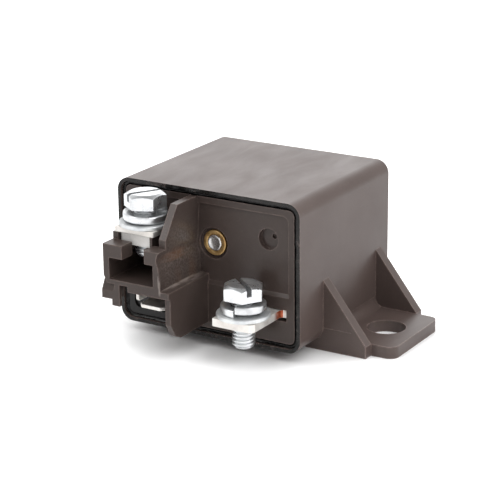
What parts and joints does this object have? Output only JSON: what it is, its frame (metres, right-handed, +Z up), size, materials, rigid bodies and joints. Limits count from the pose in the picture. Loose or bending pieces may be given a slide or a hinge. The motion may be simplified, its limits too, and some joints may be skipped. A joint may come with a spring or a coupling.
{
  "type": "starter relay",
  "caption": "Sealed starter relay: box case with a mounting foot, front plate with a plug connector, two screw terminals, and a coil, armature and contact bridge inside.",
  "frame": {"origin": "axis of the mounting hole, at the underside of the foot", "axes": "+X from the case towards the end of the foot, +Y from the terminals towards the back of the case, +Z up, away from the mounting surface"},
  "size_m": [0.062, 0.0545, 0.0354],
  "materials": {
    "case_plastic": "dark taupe glass-filled plastic, fine matte grain",
    "plate_plastic": "dark taupe glass-filled plastic with flow marks",
    "sealant": "glossy black potting compound",
    "bush_brass": "dull riveted brass",
    "magnet_steel": "bare soft iron, thinly plated",
    "bobbin_plastic": "natural plastic",
    "enamelled_wire": null,
    "spring_steel": "bright spring wire",
    "carrier_plastic": "natural high temperature plastic",
    "bare_copper": null,
    "contact_silver": "silver contact alloy",
    "tinned_copper": "tinned copper, bare on the cut edges",
    "zinc_plated_steel": "bright zinc plating"
  },
  "bodies": {
    "case": {"housing": "case_plastic", "base_plate": "plate_plastic", "sealing_ring": "sealant", "core_bush": "bush_brass", "coil_core": "magnet_steel", "coil_bobbin": "bobbin_plastic", "coil_winding": "enamelled_wire", "coil_lead_main": "enamelled_wire", "coil_lead_small": "enamelled_wire", "yoke": "magnet_steel", "armature_spring": "spring_steel", "fixed_contacts": "contact_silver", "terminal_strip_1": "tinned_copper", "terminal_strip_2": "tinned_copper", "coil_tab_main": "tinned_copper", "coil_tab_small": "tinned_copper", "terminal_nut": "zinc_plated_steel"},
    "armature": {"armature": "magnet_steel", "contact_carrier": "carrier_plastic", "carrier_rivet": "magnet_steel", "bridge_spring": "spring_steel"},
    "bridge": {"contact_bridge": "bare_copper", "moving_contacts": "contact_silver"},
    "washers_1": {"spring_washer_1": "zinc_plated_steel", "flat_washer_1": "zinc_plated_steel"},
    "screw_1": {"terminal_screw_1": "zinc_plated_steel"},
    "washers_2": {"spring_washer_2": "zinc_plated_steel", "flat_washer_2": "zinc_plated_steel"},
    "screw_2": {"terminal_screw_2": "zinc_plated_steel"}
  },
  "joints": [
    {"name": "armature_pull_in", "type": "hinge", "parent": "case", "child": "armature", "pos_m": [-0.0305, 0.00305, 0.0124], "axis": [1, 0, 0], "range_deg": [0, 5.8], "stiffness_Nm_per_rad": 0.05, "springref_deg": -11.46, "deforming": ["armature_spring"]},
    {"name": "bridge_overtravel", "type": "slide", "parent": "armature", "child": "bridge", "axis": [0, 0.9949, -0.1011], "range_m": [0, 0.0005], "stiffness_N_per_m": 800, "springref_m": -0.002, "deforming": ["bridge_spring"]},
    {"name": "screw_1_lift", "type": "slide", "parent": "case", "child": "washers_1", "axis": [0, 0, 1], "range_m": [0, 0.004]},
    {"name": "screw_1_turn", "type": "hinge", "parent": "washers_1", "child": "screw_1", "pos_m": [-0.0431, -0.02925, 0.0278], "axis": [0, 0, 1], "range_deg": [0, 1800]},
    {"name": "screw_2_lift", "type": "slide", "parent": "case", "child": "washers_2", "axis": [0, 0, 1], "range_m": [0, 0.004]},
    {"name": "screw_2_turn", "type": "hinge", "parent": "washers_2", "child": "screw_2", "pos_m": [-0.0188, -0.02925, 0.0113], "axis": [0, 0, 1], "range_deg": [0, 1800]}
  ],
  "couplings": [
    {"joint": "screw_1_turn", "follows": "screw_1_lift", "rad_per_m": 7854},
    {"joint": "screw_2_turn", "follows": "screw_2_lift", "rad_per_m": 7854}
  ]
}
